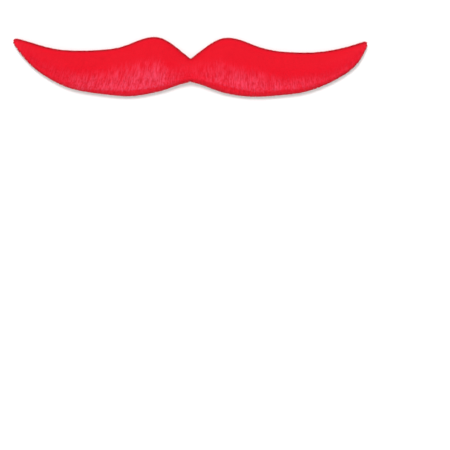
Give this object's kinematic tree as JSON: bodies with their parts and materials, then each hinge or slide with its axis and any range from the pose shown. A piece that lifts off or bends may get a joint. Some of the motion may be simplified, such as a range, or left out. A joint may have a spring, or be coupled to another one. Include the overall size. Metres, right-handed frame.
{
  "type": "fake moustache",
  "caption": "Stick-on party moustache of red plush fur, cut with two humps, a notch under the nose and upturned tips, on a white self-adhesive sheet.",
  "frame": {"origin": "under the middle of the outline, on the adhesive face that lies against the skin", "axes": "+X from tip to tip, to the viewer's right; +Y up the face, towards the nose; +Z out of the fur, away from the skin"},
  "size_m": [0.14, 0.0236, 0.0051],
  "materials": {
    "white_backing": "satin",
    "red_cloth": "matte",
    "red_fur": "matte"
  },
  "bodies": {
    "root": {"adhesive_sheet": "white_backing", "ground_cloth": "red_cloth", "fur_pile": "red_fur"}
  },
  "joints": []
}
